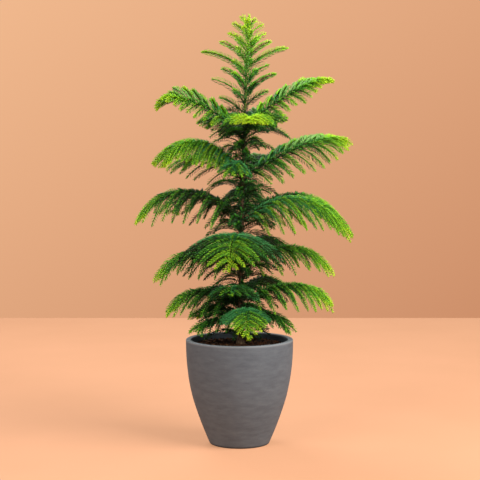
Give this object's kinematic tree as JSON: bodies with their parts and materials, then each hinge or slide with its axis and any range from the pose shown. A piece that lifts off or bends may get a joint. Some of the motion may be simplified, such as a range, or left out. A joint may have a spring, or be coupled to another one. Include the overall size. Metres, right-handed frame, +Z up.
{
  "type": "potted araucaria tree",
  "caption": "Young Norfolk Island pine in a tapered charcoal pot: slim trunk, whorls of arching boughs with feathery drooping needle sprays, and an upright leader.",
  "frame": {"origin": "centre of the pot's flat underside", "axes": "+Z up along the pot's axis, +X to the right and -Y to the front as the plant is seen in the picture"},
  "size_m": [0.4331, 0.3636, 0.8451],
  "materials": {
    "pot": "matt, slightly mottled charcoal",
    "soil": "loose dark bark and peat",
    "bark": "rough brown bark",
    "foliage": "satin green needles",
    "leader": "satin fresh green needles"
  },
  "bodies": {
    "root": {"leader_foliage": "leader", "pot": "pot", "soil": "soil", "tier_1_back_left_bough": "bark", "tier_1_back_left_foliage": "foliage", "tier_1_back_right_bough": "bark", "tier_1_back_right_foliage": "foliage", "tier_1_front_bough": "bark", "tier_1_front_foliage": "foliage", "tier_1_left_bough": "bark", "tier_1_left_foliage": "foliage", "tier_1_right_bough": "bark", "tier_1_right_foliage": "foliage", "tier_2_back_left_bough": "bark", "tier_2_back_left_foliage": "foliage", "tier_2_back_right_bough": "bark", "tier_2_back_right_foliage": "foliage", "tier_2_front_bough": "bark", "tier_2_front_foliage": "foliage", "tier_2_left_bough": "bark", "tier_2_left_foliage": "foliage", "tier_2_right_bough": "bark", "tier_2_right_foliage": "foliage", "tier_3_back_bough": "bark", "tier_3_back_foliage": "foliage", "tier_3_back_left_bough": "bark", "tier_3_back_left_foliage": "foliage", "tier_3_back_right_bough": "bark", "tier_3_back_right_foliage": "foliage", "tier_3_left_bough": "bark", "tier_3_left_foliage": "foliage", "tier_3_right_bough": "bark", "tier_3_right_foliage": "foliage", "tier_4_back_left_bough": "bark", "tier_4_back_left_foliage": "foliage", "tier_4_back_right_bough": "bark", "tier_4_back_right_foliage": "foliage", "tier_4_front_bough": "bark", "tier_4_front_foliage": "foliage", "tier_4_left_bough": "bark", "tier_4_left_foliage": "foliage", "tier_4_right_bough": "bark", "tier_4_right_foliage": "foliage", "tier_5_back_left_bough": "bark", "tier_5_back_left_foliage": "foliage", "tier_5_back_right_bough": "bark", "tier_5_back_right_foliage": "foliage", "tier_5_front_bough": "bark", "tier_5_front_foliage": "foliage", "tier_5_left_bough": "bark", "tier_5_left_foliage": "foliage", "tier_5_right_bough": "bark", "tier_5_right_foliage": "foliage", "tier_6_back_left_foliage": "foliage", "tier_6_back_right_foliage": "foliage", "tier_6_front_foliage": "foliage", "tier_6_left_foliage": "foliage", "tier_6_right_foliage": "foliage", "trunk": "bark"}
  },
  "joints": []
}
